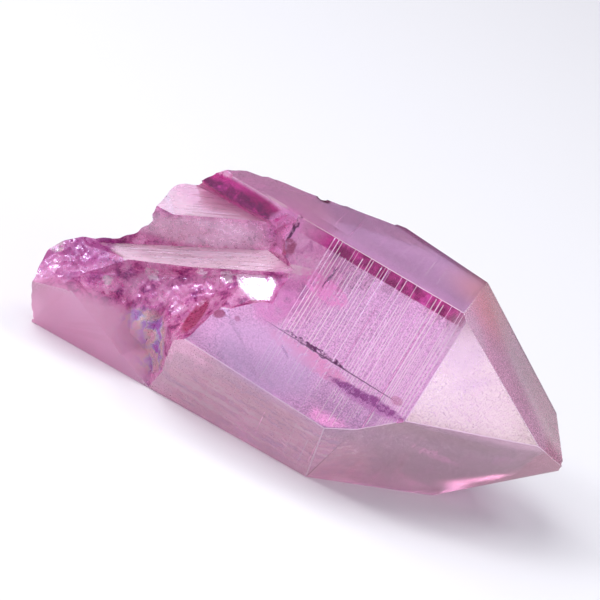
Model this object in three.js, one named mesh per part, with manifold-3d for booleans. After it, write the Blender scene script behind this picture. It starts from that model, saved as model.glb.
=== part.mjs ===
// A point of aura-coated quartz: one natural crystal with six prism faces and a six-sided
// point, broken off its bed in ledges at the other end. It lies on its lowest prism face.
// Millimetres and degrees. In the finished part +X runs to the tip and +Z is up.

import * as THREE from 'three';
import * as BufferGeometryUtils from 'three/addons/utils/BufferGeometryUtils.js';
import Module from 'manifold-3d';

const wasm = await Module();
wasm.setup();

// The growth axes: x runs along the crystal to its tip, z stands out of the front face and y
// runs across that face to its upper edge. Their origin is the corner where the front face
// meets the two widest faces of the point. Each flat face has its turn about the crystal from
// the front face, its lean to the tip, and its distance from that origin.
const faces = {
  front: { turn: 0.6, lean: 1.2, reach: 0 },
  upperFront: { turn: 60.2, lean: 0.4, reach: 0.9 },
  upperBack: { turn: 120, lean: 7, reach: 15.5 },
  back: { turn: 180, lean: 0, reach: 32.5 },
  resting: { turn: -119.9, lean: 2.8, reach: 34.8 },
  lowerFront: { turn: -58, lean: -0.7, reach: 23 },
  pointFront: { turn: -0.2, lean: 37.8, reach: 0 },
  pointUpper: { turn: 59.7, lean: 38.8, reach: 0 },
  pointLower: { turn: -60.5, lean: 37.7, reach: 12.9 },
  pointSliver: { turn: -56.4, lean: 25.2, reach: 15.7 },
  pointBack: { turn: 180, lean: 38.2, reach: 35.3 },
  pointUnder: { turn: -120, lean: 38.2, reach: 32.6 },
};
const blank = { length: 104, width: 70, centre: [-22, -14, -16] };
const cutterSize = 240;

// Growth lines: fine grooves square to the crystal's length, the first one at "from" and the
// rest further and further apart, each as long as chance has it between the two lengths.
const grooves = {
  front: { count: 30, from: -1.4, pitch: 0.95, depth: 0.16, lengths: [9, 30], middle: -13 },
  upperFront: { count: 12, from: -4, pitch: 2.6, depth: 0.12, lengths: [4, 17], middle: 5 },
  upperBack: { count: 12, from: -6, pitch: 2.4, depth: 0.14, lengths: [6, 20], middle: 4 },
  back: { count: 14, from: -8, pitch: 2.7, depth: 0.14, lengths: [7, 22], middle: -11 },
  resting: { count: 6, from: -8, pitch: 2.2, depth: 0.12, lengths: [5, 12], middle: -29 },
  lowerFront: { count: 10, from: -12, pitch: 2.3, depth: 0.12, lengths: [4, 13], middle: -31 },
};
const grooveRow = { firstStep: 0.72, widening: 0.648, jitter: 0.35, slide: 0.54, slope: 0.9 };

// Growth steps on the back face: strips along the crystal that lie a little lower.
const backSteps = [
  { along: [-58, -14], across: [-7.5, 4], depth: 0.45 },
  { along: [-36, 6], across: [-26, -17.5], depth: 0.6 },
];

// The broken end as seen square on to the front face: x, y and z of each corner of its
// ledges in the growth axes, then how far the stone wanders there.
const breakCorners = {
  stripEnd: [-57, -2.2, 2.5, 0], strip: [-48.6, -2.2, 2.2, 0], stripTip: [-36.4, -2.2, 1.8, 0],
  ledgeEnd: [-57, -3, -3.8, 0], ledgeTop: [-49.2, -2.9, -3, 0], ledgeTip: [-36.7, -2.6, -0.7, 0],
  ledgeLow: [-50, -9.3, -0.4, 0], ledgeOut: [-57, -9.5, -2, 0.4],
  riserOut: [-62, -13, -6, 0.6], shelfEnd: [-59.2, -18.7, -8.1, 0], shelfTop: [-34.2, -6, -4.2, 0],
  shelfFoot: [-60.5, -20.2, -7, 0.2], shelfEdge: [-53.2, -18.9, -5.7, 0],
  shelfMid: [-43.4, -14.8, -4, 0], shelfTip: [-27.5, -7.4, 1.4, 0],
  notchTop: [-33.4, 1.3, 1.7, 0], notchRight: [-31.4, 1, 1.6, 0.3], notchFloor: [-34.6, -2.4, -2.3, 0.7],
  wallMid: [-31.7, -3.8, 1.5, 0.6], wallFoot: [-33.4, -4.6, -3.8, 0.7], wallLow: [-30.3, -5.8, 1.5, 0.5],
  glintLeft: [-36.2, -12, -3.1, 0], glintLow: [-34.8, -13.6, -2.3, 0], glintFoot: [-31.6, -14.6, -0.9, 0],
  glintRight: [-28.9, -13.2, 0.1, 0], glintSide: [-29.3, -10.6, -0.3, 0], glintTop: [-31, -9.6, -1.1, 0],
  rimTop: [-27.8, -9.2, 1.5, 0.3], rimUpper: [-28, -11.3, 1.5, 0.3], rimBend: [-27.8, -14.2, 1.5, 0.3],
  rimTurn: [-31.2, -15.7, 1.6, 0.4], rimMid: [-35.3, -19.9, 1.7, 0.4], rimLow: [-36.1, -23, 1.8, 0.4],
  rimEnd: [-36.9, -25.9, 1.8, 0.3], rimCorner: [-38.5, -27.3, 0.5, 0.2],
  roughHigh: [-43.2, -15.9, -6.5, 0.7], roughLeft: [-51.5, -20.2, -8.3, 0.8],
  roughMid: [-37.8, -16.2, -4.1, 0.8], roughLow: [-38.7, -20.9, -3.5, 0.9],
  roughDeep: [-43.9, -21.1, -6.9, 1], roughSpur: [-42.1, -24.8, -4.6, 0.8],
  roughWide: [-49.6, -24.4, -8.7, 1], roughFar: [-58.6, -25, -5.6, 0.9], roughEdge: [-64.5, -22.8, -8, 0.9],
  outerTop: [-67, -17, -9.5, 0.5], outerLeft: [-72, -24, -8, 0.5], outerLow: [-72, -31.5, -4, 0],
  cheekEnd: [-65.4, -30.2, -6.5, 0.2], cheekPeak: [-58.1, -28.3, -3.3, 0.3],
  cheekMid: [-48.9, -31.6, -8.3, 0.2], cheekLow: [-46.4, -32.7, -10, 0.2],
  cheekFoot: [-40.2, -34.7, -13.1, 0.2],
  clearPeak: [-58, -31.5, -5, 0], clearMid: [-50, -35, -10, 0], clearLow: [-46.5, -36.5, -13, 0],
  clearFoot: [-40, -38, -15, 0],
  hollowLeft: [-47.3, -28.8, -10.5, 0.5], hollow: [-44.5, -29.3, -12.8, 0.4],
  hollowLow: [-41.5, -31.3, -12.5, 0.4],
  lipTop: [-38, -31.5, -6, 0], lipLow: [-38, -35, -11.5, 0],
};

// The facets between those corners, each counter-clockwise as seen from in front.
const breakFacets = [
  'stripEnd ledgeEnd ledgeTop strip', 'strip ledgeTop ledgeTip stripTip',
  'ledgeEnd ledgeOut ledgeLow ledgeTop', 'ledgeTop ledgeLow ledgeTip',
  'ledgeOut riserOut shelfEnd', 'ledgeOut shelfEnd ledgeLow', 'ledgeLow shelfEnd shelfTop ledgeTip',
  'ledgeTip notchFloor stripTip', 'stripTip notchFloor notchTop', 'notchTop notchFloor notchRight',
  'notchFloor wallMid notchRight', 'notchFloor wallFoot wallMid', 'wallFoot wallLow wallMid',
  'ledgeTip shelfTop wallFoot', 'ledgeTip wallFoot notchFloor', 'shelfTop shelfTip wallLow',
  'shelfTop wallLow wallFoot',
  'shelfEnd shelfFoot shelfEdge', 'shelfEnd shelfEdge shelfMid', 'shelfEnd shelfMid shelfTop',
  'shelfMid shelfTip shelfTop',
  'shelfEdge roughLeft shelfMid', 'roughLeft roughHigh shelfMid', 'shelfMid roughHigh glintLeft',
  'shelfMid glintLeft glintTop', 'shelfMid glintTop shelfTip', 'shelfTip glintTop glintSide',
  'shelfTip glintSide rimTop',
  'glintLeft glintLow glintFoot', 'glintLeft glintFoot glintRight', 'glintLeft glintRight glintSide',
  'glintLeft glintSide glintTop',
  'glintSide rimUpper rimTop', 'glintSide glintRight rimUpper', 'glintRight rimBend rimUpper',
  'glintRight rimTurn rimBend', 'glintFoot rimTurn glintRight', 'glintFoot rimMid rimTurn',
  'glintLow rimMid glintFoot', 'glintLow roughMid rimMid', 'glintLeft roughMid glintLow',
  'roughHigh roughMid glintLeft', 'roughMid roughLow rimMid', 'roughLow rimLow rimMid',
  'roughLow rimEnd rimLow', 'roughHigh roughDeep roughMid', 'roughDeep roughLow roughMid',
  'roughDeep roughSpur roughLow', 'roughSpur rimEnd roughLow', 'roughSpur rimCorner rimEnd',
  'roughLeft roughDeep roughHigh', 'roughLeft roughWide roughDeep',
  'riserOut outerTop shelfEnd', 'shelfEnd outerTop shelfFoot', 'shelfFoot outerTop roughEdge',
  'outerTop outerLeft roughEdge', 'shelfFoot roughEdge roughFar', 'shelfFoot roughFar shelfEdge',
  'shelfEdge roughFar roughLeft', 'roughFar roughWide roughLeft',
  'roughFar cheekPeak roughWide', 'cheekPeak cheekMid roughWide', 'roughEdge cheekEnd roughFar',
  'cheekEnd cheekPeak roughFar', 'outerLeft cheekEnd roughEdge', 'outerLeft outerLow cheekEnd',
  'outerLow clearPeak cheekEnd', 'cheekEnd clearPeak cheekPeak', 'cheekPeak clearPeak cheekMid',
  'clearPeak clearMid cheekMid', 'cheekMid clearMid cheekLow', 'clearMid clearLow cheekLow',
  'cheekLow clearLow cheekFoot', 'clearLow clearFoot cheekFoot',
  'roughWide cheekMid hollowLeft', 'roughWide hollowLeft roughDeep', 'roughDeep hollowLeft hollow',
  'roughDeep hollow roughSpur', 'hollowLeft cheekMid cheekLow', 'hollowLeft cheekLow hollow',
  'hollow cheekLow hollowLow', 'cheekLow cheekFoot hollowLow', 'hollow hollowLow roughSpur',
  'roughSpur hollowLow rimCorner', 'hollowLow lipTop rimCorner', 'hollowLow cheekFoot lipTop',
  'cheekFoot clearFoot lipLow', 'cheekFoot lipLow lipTop',
];
const breakSplits = 2;
const breakHeight = 70;
const weldGap = 1e-4;

// Two fractures close the broken end where it turns away: the end itself and the long
// scallop that takes the upper back corner off. Each is a plane through a point, square to
// a direction, with shell-like ripples round a strike point. A bulge stands out of it by
// its height, at a y and z of the growth axes.
const endFracture = {
  through: [-47.4, 0, 1], facing: [-0.86, 0.45, -0.25], strike: [-55, -20, -34],
  size: 110, segments: 24, ripple: 0.5, wave: 6.5,
  bulges: [
    { height: 7.5, at: [-25.5, -9], spread: [7.5, 13] },
    { height: 3, at: [-6.5, -4], spread: [3.2, 6] },
  ],
};
const backFracture = {
  through: [-15.7, 11.1, -17.3], facing: [-0.44, 0.724, -0.531], strike: [-46, 4, -12],
  size: 90, segments: 18, ripple: 0.35, wave: 7.5, bulges: [],
};
const fractureThickness = 40;
const unevenness = { amount: 0.8, stretch: 0.6 };

// Small chips knocked out of the edges: where, and how big. Each is bitten out from outside,
// away from the middle of the crystal, with this share of its size standing clear.
const chips = [
  { at: [-31.5, 7.3, -9.9], size: 1.8 }, { at: [-0.9, -19.4, 0.4], size: 1.1 },
  { at: [25.7, -9.5, -24.2], size: 1.6 }, { at: [-24, 9.9, -15.4], size: 1.5 },
  { at: [-20, -27.3, 0.4], size: 1.2 }, { at: [-41, -1.2, -32.3], size: 2.2 },
  { at: [-18, -22.3, -32.4], size: 1.9 }, { at: [-46, 0.9, 1.2], size: 2.4 },
];
const chipBite = { middle: [-15, -12, -16], flatten: 0.3, clear: 0.55 };

const stone = new THREE.MeshStandardMaterial({ color: 0xc98bc0, roughness: 0.12, metalness: 0 });

const along = new THREE.Vector3(1, 0, 0);
const shuffle = { stride: 127.1, start: 311.7, stretch: 43758.5453 };

// Broad and fine waves of the rough stone: their share of the height, how fast they come along
// x and y (radians per mm), how far they slant, and how the broad one bends.
const broadWave = { height: 0.65, x: 1.7, y: 1.9, slant: 0.6, bend: 1.9, bendRate: 1.3 };
const fineWave = { height: 0.35, x: 4.3, y: 5.1, slant: 1.7, shear: 2.9 };

// A number from 0 to 1 that is always the same for the same seed.
function pick(seed) {
  const value = Math.sin(seed * shuffle.stride + shuffle.start) * shuffle.stretch;
  return value - Math.floor(value);
}

// Smooth wandering between -1 and 1 over the stone, about one lump every 3 mm.
function wander(x, y) {
  const { bend, bendRate } = broadWave;
  const broad = Math.sin(broadWave.x * x + bend * Math.sin(bendRate * y))
    * Math.cos(broadWave.y * y - broadWave.slant * x);
  const fine = Math.sin(fineWave.x * x + fineWave.shear * y)
    * Math.cos(fineWave.y * y - fineWave.slant * x);
  return broadWave.height * broad + fineWave.height * fine;
}

function faceNormal({ turn, lean }) {
  const around = THREE.MathUtils.degToRad(turn);
  const rise = THREE.MathUtils.degToRad(lean);
  return new THREE.Vector3(
    Math.sin(rise),
    Math.cos(rise) * Math.sin(around),
    Math.cos(rise) * Math.cos(around),
  );
}

function toSolid(geometry) {
  const plain = geometry.clone();
  plain.deleteAttribute('normal');
  plain.deleteAttribute('uv');
  const merged = BufferGeometryUtils.mergeVertices(plain, weldGap);
  const mesh = new wasm.Mesh({
    numProp: 3,
    vertProperties: new Float32Array(merged.attributes.position.array),
    triVerts: new Uint32Array(merged.index.array),
  });
  return new wasm.Manifold(mesh);
}

function toGeometry(solid) {
  const mesh = solid.getMesh();
  const geometry = new THREE.BufferGeometry();
  geometry.setAttribute('position', new THREE.BufferAttribute(new Float32Array(mesh.vertProperties), 3));
  geometry.setIndex(new THREE.BufferAttribute(new Uint32Array(mesh.triVerts), 1));
  return geometry;
}

// Places a shape that was made round the origin, its z axis turned to a direction and its
// x axis kept as near to the crystal's length as it can be.
function place(geometry, facing, position) {
  const side = new THREE.Vector3().crossVectors(facing, along).normalize();
  const lengthwise = new THREE.Vector3().crossVectors(side, facing).normalize();
  const turn = new THREE.Matrix4().makeBasis(lengthwise, side, facing);
  return geometry.applyMatrix4(turn.setPosition(position));
}

function faceCutter(face) {
  const normal = faceNormal(face);
  const middle = normal.clone().multiplyScalar(face.reach + cutterSize / 2);
  return toSolid(place(new THREE.BoxGeometry(cutterSize, cutterSize, cutterSize), normal, middle));
}

function crystalBlank() {
  const box = new THREE.BoxGeometry(blank.length, blank.width, blank.width);
  let solid = toSolid(box.translate(...blank.centre));
  for (const face of Object.values(faces)) {
    solid = solid.subtract(faceCutter(face));
  }
  return solid;
}

// The point on a face that lies at x along the crystal and y across the front.
function pointOnFace(name, x, y) {
  const normal = faceNormal(faces[name]);
  const depth = faces[name].reach - normal.x * x - normal.y * y;
  return new THREE.Vector3(x, y, depth / normal.z);
}

// One growth line: a thin diamond bar laid in the face, square to the crystal's length.
function groove(name, x, y, length, depth) {
  const bar = new THREE.CylinderGeometry(1, 1, length, 4);
  bar.scale(depth * grooveRow.slope, 1, depth);
  return toSolid(place(bar, faceNormal(faces[name]), pointOnFace(name, x, y)));
}

function cutGrooves(solid) {
  let cut = solid;
  Object.entries(grooves).forEach(([name, set], setIndex) => {
    const [shortest, longest] = set.lengths;
    for (let i = 0; i < set.count; i += 1) {
      const seed = setIndex * 100 + i;
      const steps = i * (grooveRow.firstStep + grooveRow.widening * (i / set.count));
      const x = set.from - set.pitch * (steps + grooveRow.jitter * pick(seed));
      const length = shortest + (longest - shortest) * pick(seed + 0.3);
      const slide = (pick(seed + 0.6) - 0.5) * (longest - length) * grooveRow.slide;
      cut = cut.subtract(groove(name, x, set.middle + slide, length, set.depth));
    }
  });
  return cut;
}

function cutBackSteps(solid) {
  let cut = solid;
  for (const { along: [x0, x1], across: [y0, y1], depth } of backSteps) {
    const middle = pointOnFace('back', (x0 + x1) / 2, (y0 + y1) / 2);
    const box = new THREE.BoxGeometry(x1 - x0, y1 - y0, 2 * depth);
    cut = cut.subtract(toSolid(box.translate(middle.x, middle.y, middle.z)));
  }
  return cut;
}

// Splits a triangle of corners [x, y, z, roughness] in four, a number of times.
function splitTriangle(corners, times) {
  if (times === 0) {
    return [corners];
  }
  const [a, b, c] = corners;
  const halfway = (p, q) => p.map((value, i) => (value + q[i]) / 2);
  const [ab, bc, ca] = [halfway(a, b), halfway(b, c), halfway(c, a)];
  const quarters = [[a, ab, ca], [ab, b, bc], [ca, bc, c], [ab, bc, ca]];
  return quarters.flatMap((quarter) => splitTriangle(quarter, times - 1));
}

// The stone that is missing in front of the ledges: their surface, and a flat copy of it
// well clear of the crystal, joined all round their outline.
function ledgeCutter() {
  const triangles = [];
  for (const facet of breakFacets) {
    const corners = facet.split(' ').map((name) => breakCorners[name]);
    for (let i = 1; i + 1 < corners.length; i += 1) {
      triangles.push(...splitTriangle([corners[0], corners[i], corners[i + 1]], breakSplits));
    }
  }
  const low = ([x, y, z, rough]) => [x, y, z + rough * wander(x, y)];
  const high = ([x, y]) => [x, y, breakHeight];
  const key = ([x, y, z]) => `${x.toFixed(3)} ${y.toFixed(3)} ${z.toFixed(3)}`;
  const edges = new Map();
  const positions = [];
  for (const [a, b, c] of triangles) {
    positions.push(...low(a), ...low(c), ...low(b));
    positions.push(...high(a), ...high(b), ...high(c));
    for (const [p, q] of [[a, b], [b, c], [c, a]]) {
      edges.set(`${key(p)}|${key(q)}`, [p, q]);
    }
  }
  for (const [p, q] of edges.values()) {
    if (!edges.has(`${key(q)}|${key(p)}`)) {
      positions.push(...low(p), ...low(q), ...high(q));
      positions.push(...low(p), ...high(q), ...high(p));
    }
  }
  const missing = new THREE.BufferGeometry();
  missing.setAttribute('position', new THREE.Float32BufferAttribute(positions, 3));
  return toSolid(missing);
}

function bulgeHeight({ height, at, spread }, spot) {
  const across = (spot.y - at[0]) / spread[0];
  const deep = (spot.z - at[1]) / spread[1];
  return height * Math.exp(-across * across - deep * deep);
}

// A block whose inner side is a rippled fracture.
function fractureCutter(fracture) {
  const facing = new THREE.Vector3(...fracture.facing).normalize();
  const middle = new THREE.Vector3(...fracture.through).addScaledVector(facing, fractureThickness / 2);
  const { size, segments } = fracture;
  const block = new THREE.BoxGeometry(size, size, fractureThickness, segments, segments, 1);
  const inner = Array.from(block.attributes.position.array).filter((_, i) => i % 3 === 2);
  place(block, facing, middle);
  const strike = new THREE.Vector3(...fracture.strike);
  const spots = block.attributes.position;
  const spot = new THREE.Vector3();
  for (let i = 0; i < spots.count; i += 1) {
    if (inner[i] < 0) {
      spot.fromBufferAttribute(spots, i);
      const ring = Math.sin(spot.distanceTo(strike) * (2 * Math.PI / fracture.wave));
      const swell = fracture.bulges.reduce((sum, bulge) => sum + bulgeHeight(bulge, spot), 0);
      const uneven = wander(spot.x * unevenness.stretch, spot.z * unevenness.stretch);
      const ripple = fracture.ripple * (ring + unevenness.amount * uneven);
      spot.addScaledVector(facing, swell + ripple);
      spots.setXYZ(i, spot.x, spot.y, spot.z);
    }
  }
  return toSolid(block);
}

function cutChips(solid) {
  let cut = solid;
  chips.forEach((chip, i) => {
    const shape = new THREE.IcosahedronGeometry(chip.size, 0);
    shape.rotateX(pick(i + 0.1) * Math.PI).rotateY(pick(i + 0.5) * Math.PI);
    const edge = new THREE.Vector3(...chip.at);
    const outside = edge.clone().sub(new THREE.Vector3(...chipBite.middle));
    outside.x *= chipBite.flatten;
    edge.addScaledVector(outside.normalize(), chip.size * chipBite.clear);
    shape.translate(edge.x, edge.y, edge.z);
    cut = cut.subtract(toSolid(shape));
  });
  return cut;
}

// Lays the finished stone down on its resting face and puts its origin under its middle.
function layDown(geometry) {
  const up = faceNormal(faces.resting).negate();
  const lengthwise = along.clone().addScaledVector(up, -along.dot(up)).normalize();
  const away = new THREE.Vector3().crossVectors(up, lengthwise);
  geometry.applyMatrix4(new THREE.Matrix4().makeBasis(lengthwise, away, up).transpose());
  geometry.computeBoundingBox();
  const { min, max } = geometry.boundingBox;
  return geometry.translate(-(min.x + max.x) / 2, -(min.y + max.y) / 2, -min.z);
}

function makeCrystal() {
  let solid = cutBackSteps(cutGrooves(crystalBlank()));
  solid = solid.subtract(ledgeCutter());
  solid = solid.subtract(fractureCutter(endFracture));
  solid = solid.subtract(fractureCutter(backFracture));
  solid = cutChips(solid);
  const mesh = new THREE.Mesh(layDown(toGeometry(solid)), stone);
  mesh.name = 'crystal';
  return mesh;
}

const quartz = new THREE.Group();
quartz.add(makeCrystal());

export default quartz;
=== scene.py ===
import math

import bmesh
import bpy
import numpy as np
from mathutils import Matrix, Vector, noise


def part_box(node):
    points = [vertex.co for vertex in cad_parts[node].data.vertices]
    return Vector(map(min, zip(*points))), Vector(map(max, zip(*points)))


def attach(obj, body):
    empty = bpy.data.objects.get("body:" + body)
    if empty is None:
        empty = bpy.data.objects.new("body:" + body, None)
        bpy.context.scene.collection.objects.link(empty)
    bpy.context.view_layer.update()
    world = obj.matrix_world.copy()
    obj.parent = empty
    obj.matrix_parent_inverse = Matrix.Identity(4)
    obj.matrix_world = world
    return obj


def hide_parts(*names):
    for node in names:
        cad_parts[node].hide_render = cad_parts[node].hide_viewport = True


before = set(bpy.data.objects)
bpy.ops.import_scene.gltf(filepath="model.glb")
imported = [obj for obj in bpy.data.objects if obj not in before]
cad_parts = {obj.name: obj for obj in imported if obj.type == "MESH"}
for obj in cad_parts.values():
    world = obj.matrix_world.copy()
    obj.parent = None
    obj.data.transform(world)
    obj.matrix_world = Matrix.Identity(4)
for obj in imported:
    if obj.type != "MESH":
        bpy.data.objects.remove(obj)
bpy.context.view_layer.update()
mm = 0.001

# the growth axes, in mm: x along the crystal to its tip, z out of the front face, y across that
# face to its upper edge; they start at the corner where the three widest front faces meet

# each flat face: turn about the crystal from the front and lean to the tip (degrees), distance (mm),
# then the tint of its colour film and how rough it is
crystalFaces = {
    "front": dict(turn=0.6, lean=1.2, reach=0, film=(0.94, 0.58, 0.93), rough=0.16),
    "upperFront": dict(turn=60.2, lean=0.4, reach=0.9, film=(0.70, 0.45, 0.74), rough=0.18),
    "upperBack": dict(turn=120, lean=7, reach=15.5, film=(0.84, 0.55, 0.80), rough=0.12),
    "back": dict(turn=180, lean=0, reach=32.5, film=(0.86, 0.55, 0.84), rough=0.10),
    "resting": dict(turn=-119.9, lean=2.8, reach=34.8, film=(0.88, 0.62, 0.84), rough=0.12),
    "lowerFront": dict(turn=-58, lean=-0.7, reach=23, film=(1.0, 0.76, 0.88), rough=0.12),
    "pointFront": dict(turn=-0.2, lean=37.8, reach=0, film=(0.98, 1.0, 0.80), rough=0.20),
    "pointUpper": dict(turn=59.7, lean=38.8, reach=0, film=(0.84, 0.54, 0.68), rough=0.26),
    "pointLower": dict(turn=-60.5, lean=37.7, reach=12.9, film=(0.72, 0.60, 0.64), rough=0.14),
    "pointSliver": dict(turn=-56.4, lean=25.2, reach=15.7, film=(0.72, 0.60, 0.64), rough=0.14),
    "pointBack": dict(turn=180, lean=38.2, reach=35.3, film=(0.90, 0.70, 0.86), rough=0.10),
    "pointUnder": dict(turn=-120, lean=38.2, reach=32.6, film=(0.90, 0.70, 0.84), rough=0.10),
}


def faceNormal(face):
    turn, lean = math.radians(face["turn"]), math.radians(face["lean"])
    return Vector((math.sin(lean), math.cos(lean) * math.sin(turn), math.cos(lean) * math.cos(turn)))


def pointOnFace(name, x, y):
    normal = faceNormal(crystalFaces[name])
    depth = crystalFaces[name]["reach"] - normal.x * x - normal.y * y
    return Vector((x, y, depth / normal.z))


# the broken end, seen square on to the front face: x, y, z of each corner of its ledges and how
# far the stone wanders there
breakCorners = dict(
    stripEnd=(-57, -2.2, 2.5, 0), strip=(-48.6, -2.2, 2.2, 0), stripTip=(-36.4, -2.2, 1.8, 0),
    ledgeEnd=(-57, -3, -3.8, 0), ledgeTop=(-49.2, -2.9, -3, 0), ledgeTip=(-36.7, -2.6, -0.7, 0),
    ledgeLow=(-50, -9.3, -0.4, 0), ledgeOut=(-57, -9.5, -2, 0.4),
    riserOut=(-62, -13, -6, 0.9), shelfEnd=(-59.2, -18.7, -8.1, 0), shelfTop=(-34.2, -6, -4.2, 0),
    shelfFoot=(-60.5, -20.2, -7, 0.6), shelfEdge=(-53.2, -18.9, -5.7, 0),
    shelfMid=(-43.4, -14.8, -4, 0), shelfTip=(-27.5, -7.4, 1.4, 0),
    notchTop=(-33.4, 1.3, 1.7, 0), notchRight=(-31.4, 1, 1.6, 0.3), notchFloor=(-34.6, -2.4, -2.3, 0.7),
    wallMid=(-31.7, -3.8, 1.5, 0.6), wallFoot=(-33.4, -4.6, -3.8, 0.7), wallLow=(-30.3, -5.8, 1.5, 0.5),
    glintLeft=(-36.2, -12, -3.1, 0.2), glintLow=(-34.8, -13.6, -2.3, 0.2),
    glintFoot=(-31.6, -14.6, -0.9, 0.12), glintRight=(-28.9, -13.2, 0.1, 0.12),
    glintSide=(-29.3, -10.6, -0.3, 0.06), glintTop=(-31, -9.6, -1.1, 0.06),
    rimTop=(-27.8, -9.2, 1.5, 0.3), rimUpper=(-28, -11.3, 1.5, 0.3), rimBend=(-27.8, -14.2, 1.5, 0.3),
    rimTurn=(-31.2, -15.7, 1.6, 0.4), rimMid=(-35.3, -19.9, 1.7, 0.4), rimLow=(-36.1, -23, 1.8, 0.4),
    rimEnd=(-36.9, -25.9, 1.8, 0.3), rimCorner=(-38.5, -27.3, 0.5, 0.2),
    roughHigh=(-43.2, -15.9, -6.5, 0.7), roughLeft=(-51.5, -20.2, -8.3, 0.8),
    roughMid=(-37.8, -16.2, -4.1, 0.8), roughLow=(-38.7, -20.9, -3.5, 0.9),
    roughDeep=(-43.9, -21.1, -6.9, 1), roughSpur=(-42.1, -24.8, -4.6, 0.8),
    roughWide=(-49.6, -24.4, -8.7, 1), roughFar=(-58.6, -25, -5.6, 0.9), roughEdge=(-64.5, -22.8, -8, 0.9),
    outerTop=(-67, -17, -9.5, 1), outerLeft=(-72, -24, -8, 1), outerLow=(-72, -31.5, -4, 0),
    cheekEnd=(-65.4, -30.2, -6.5, 0.4), cheekPeak=(-58.1, -28.3, -3.3, 0.5),
    cheekMid=(-48.9, -31.6, -8.3, 0.2), cheekLow=(-46.4, -32.7, -10, 0.2),
    cheekFoot=(-40.2, -34.7, -13.1, 0.2),
    clearPeak=(-58, -31.5, -5, 0), clearMid=(-50, -35, -10, 0), clearLow=(-46.5, -36.5, -13, 0),
    clearFoot=(-40, -38, -15, 0),
    hollowLeft=(-47.3, -28.8, -10.5, 0.5), hollow=(-44.5, -29.3, -12.8, 0.4),
    hollowLow=(-41.5, -31.3, -12.5, 0.4), lipTop=(-38, -31.5, -6, 0), lipLow=(-38, -35, -11.5, 0),
)


def facingMatrix(facing, position):
    facing = Vector(facing).normalized()
    side = facing.cross(Vector((1, 0, 0))).normalized()
    lengthwise = side.cross(facing).normalized()
    turn = Matrix((lengthwise, side, facing)).transposed().to_4x4()
    return Matrix.Translation(position) @ turn


def wander(x, y):
    # smooth unevenness between -1 and 1
    broad = math.sin(x * 1.7 + math.sin(y * 1.3) * 1.9) * math.cos(y * 1.9 - x * 0.6)
    fine = math.sin(x * 4.3 + y * 2.9) * math.cos(y * 5.1 - x * 1.7)
    return 0.65 * broad + 0.35 * fine


def crumble(spot):
    # fine noise for torn stone: how fast it fades, how much finer each layer is, how many layers
    return noise.fractal(spot, 0.9, 2.1, 3)


def objectFrom(name, bm):
    mesh = bpy.data.meshes.new(name)
    bm.to_mesh(mesh)
    bm.free()
    made = bpy.data.objects.new(name, mesh)
    bpy.context.scene.collection.objects.link(made)
    return made


def plainMesh(made):
    # the evaluated shape becomes the object's own mesh and its modifiers go
    graph = bpy.context.evaluated_depsgraph_get()
    mesh = bpy.data.meshes.new_from_object(made.evaluated_get(graph))
    made.modifiers.clear()
    made.data = mesh


def cutAway(body, cutter):
    cut = body.modifiers.new("cut", "BOOLEAN")
    cut.operation, cut.object, cut.solver = "DIFFERENCE", cutter, "MANIFOLD"
    plainMesh(body)
    bpy.data.objects.remove(cutter)


# the block that the crystal is cut from, and how far its edges are worn (mm)
blank = dict(length=104, width=70, centre=(-22, -14, -16), edgeWear=0.1)


def makeBlank():
    bm = bmesh.new()
    bmesh.ops.create_cube(bm, size=1)
    size = Matrix.Diagonal((blank["length"], blank["width"], blank["width"], 1))
    bmesh.ops.transform(bm, matrix=Matrix.Translation(blank["centre"]) @ size, verts=bm.verts)
    for face in crystalFaces.values():
        normal = faceNormal(face)
        everything = bm.verts[:] + bm.edges[:] + bm.faces[:]
        cut = bmesh.ops.bisect_plane(
            bm, geom=everything, plane_co=normal * face["reach"], plane_no=normal, clear_outer=True)
        rim = [e for e in cut["geom_cut"] if isinstance(e, bmesh.types.BMEdge)]
        if rim:
            bmesh.ops.contextual_create(bm, geom=rim)
    bmesh.ops.remove_doubles(bm, verts=bm.verts, dist=0.001)
    bmesh.ops.recalc_face_normals(bm, faces=bm.faces)
    bmesh.ops.bevel(bm, geom=bm.edges[:], offset=blank["edgeWear"], segments=1, affect="EDGES")
    return objectFrom("crystalShape", bm)


def plug(socket, value):
    if isinstance(value, bpy.types.NodeSocket):
        socket.id_data.links.new(value, socket)
    else:
        socket.default_value = value


def nodeMaker(tree):
    # node(kind, settings, Name=value) adds a node; s0, s1 and so on give a socket by its number
    def node(kind, settings=(), **sockets):
        new = tree.nodes.new(kind)
        for key, value in dict(settings).items():
            setattr(new, key, value)
        for key, value in sockets.items():
            numbered = key[1:].isdigit()
            plug(new.inputs[int(key[1:]) if numbered else key.replace("_", " ")], value)
        return new

    return node


def maths(node, operation, first, second=0.0, third=0.0):
    return node("ShaderNodeMath", dict(operation=operation), s0=first, s1=second, s2=third).outputs[0]


# fine growth lines across each prism face: how many, where the first one lies, how far apart,
# how deep, the shortest and longest, and the middle of the face
growthLines = {
    "front": dict(count=54, start=-0.9, pitch=0.37, depth=0.036, shortest=9, longest=29, middle=-12, seed=3),
    "upperFront": dict(count=12, start=-2, pitch=2.9, depth=0.016, shortest=3, longest=10, middle=5, seed=8),
    "upperBack": dict(count=26, start=-3, pitch=1.6, depth=0.05, shortest=5, longest=18, middle=4, seed=5),
    "back": dict(count=30, start=-4, pitch=1.5, depth=0.05, shortest=5, longest=20, middle=-11, seed=6),
    "resting": dict(count=16, start=-6, pitch=1.7, depth=0.04, shortest=5, longest=13, middle=-28, seed=9),
    "lowerFront": dict(count=12, start=-8, pitch=2.6, depth=0.02, shortest=4, longest=11, middle=-30, seed=4),
}

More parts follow.
